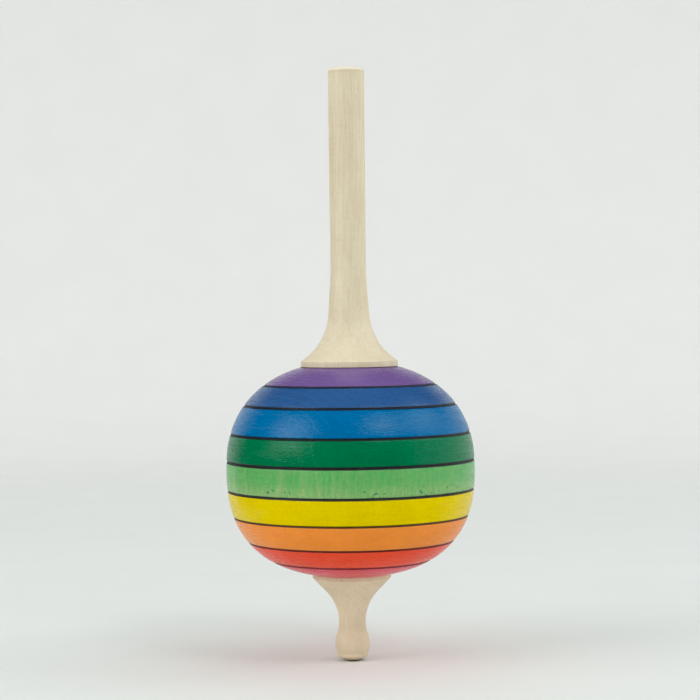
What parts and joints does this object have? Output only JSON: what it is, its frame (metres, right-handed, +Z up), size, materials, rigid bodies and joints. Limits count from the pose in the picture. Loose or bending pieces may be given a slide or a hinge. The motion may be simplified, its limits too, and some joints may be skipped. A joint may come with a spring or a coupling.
{
  "type": "spinning top",
  "caption": "Wooden finger spinning top: a striped round ball with a long slim handle flaring onto it above and a short waisted foot with a rounded point below.",
  "frame": {"origin": "the point of the foot that touches the ground, on the spin axis", "axes": "+Z up along the spin axis, from the foot's point to the handle's domed end; X and Y are any two level directions, as the top is round"},
  "size_m": [0.044, 0.044, 0.1052],
  "materials": {
    "stained_maple": "satin wax over nine stain bands: violet, indigo, blue, dark green, light green, yellow, orange, red, pink",
    "pale_maple": "fine sanded, unstained",
    "tan_maple": "fine sanded, unstained, a little darker"
  },
  "bodies": {
    "root": {"ball": "stained_maple", "handle": "pale_maple", "foot_peg": "tan_maple"}
  },
  "joints": []
}
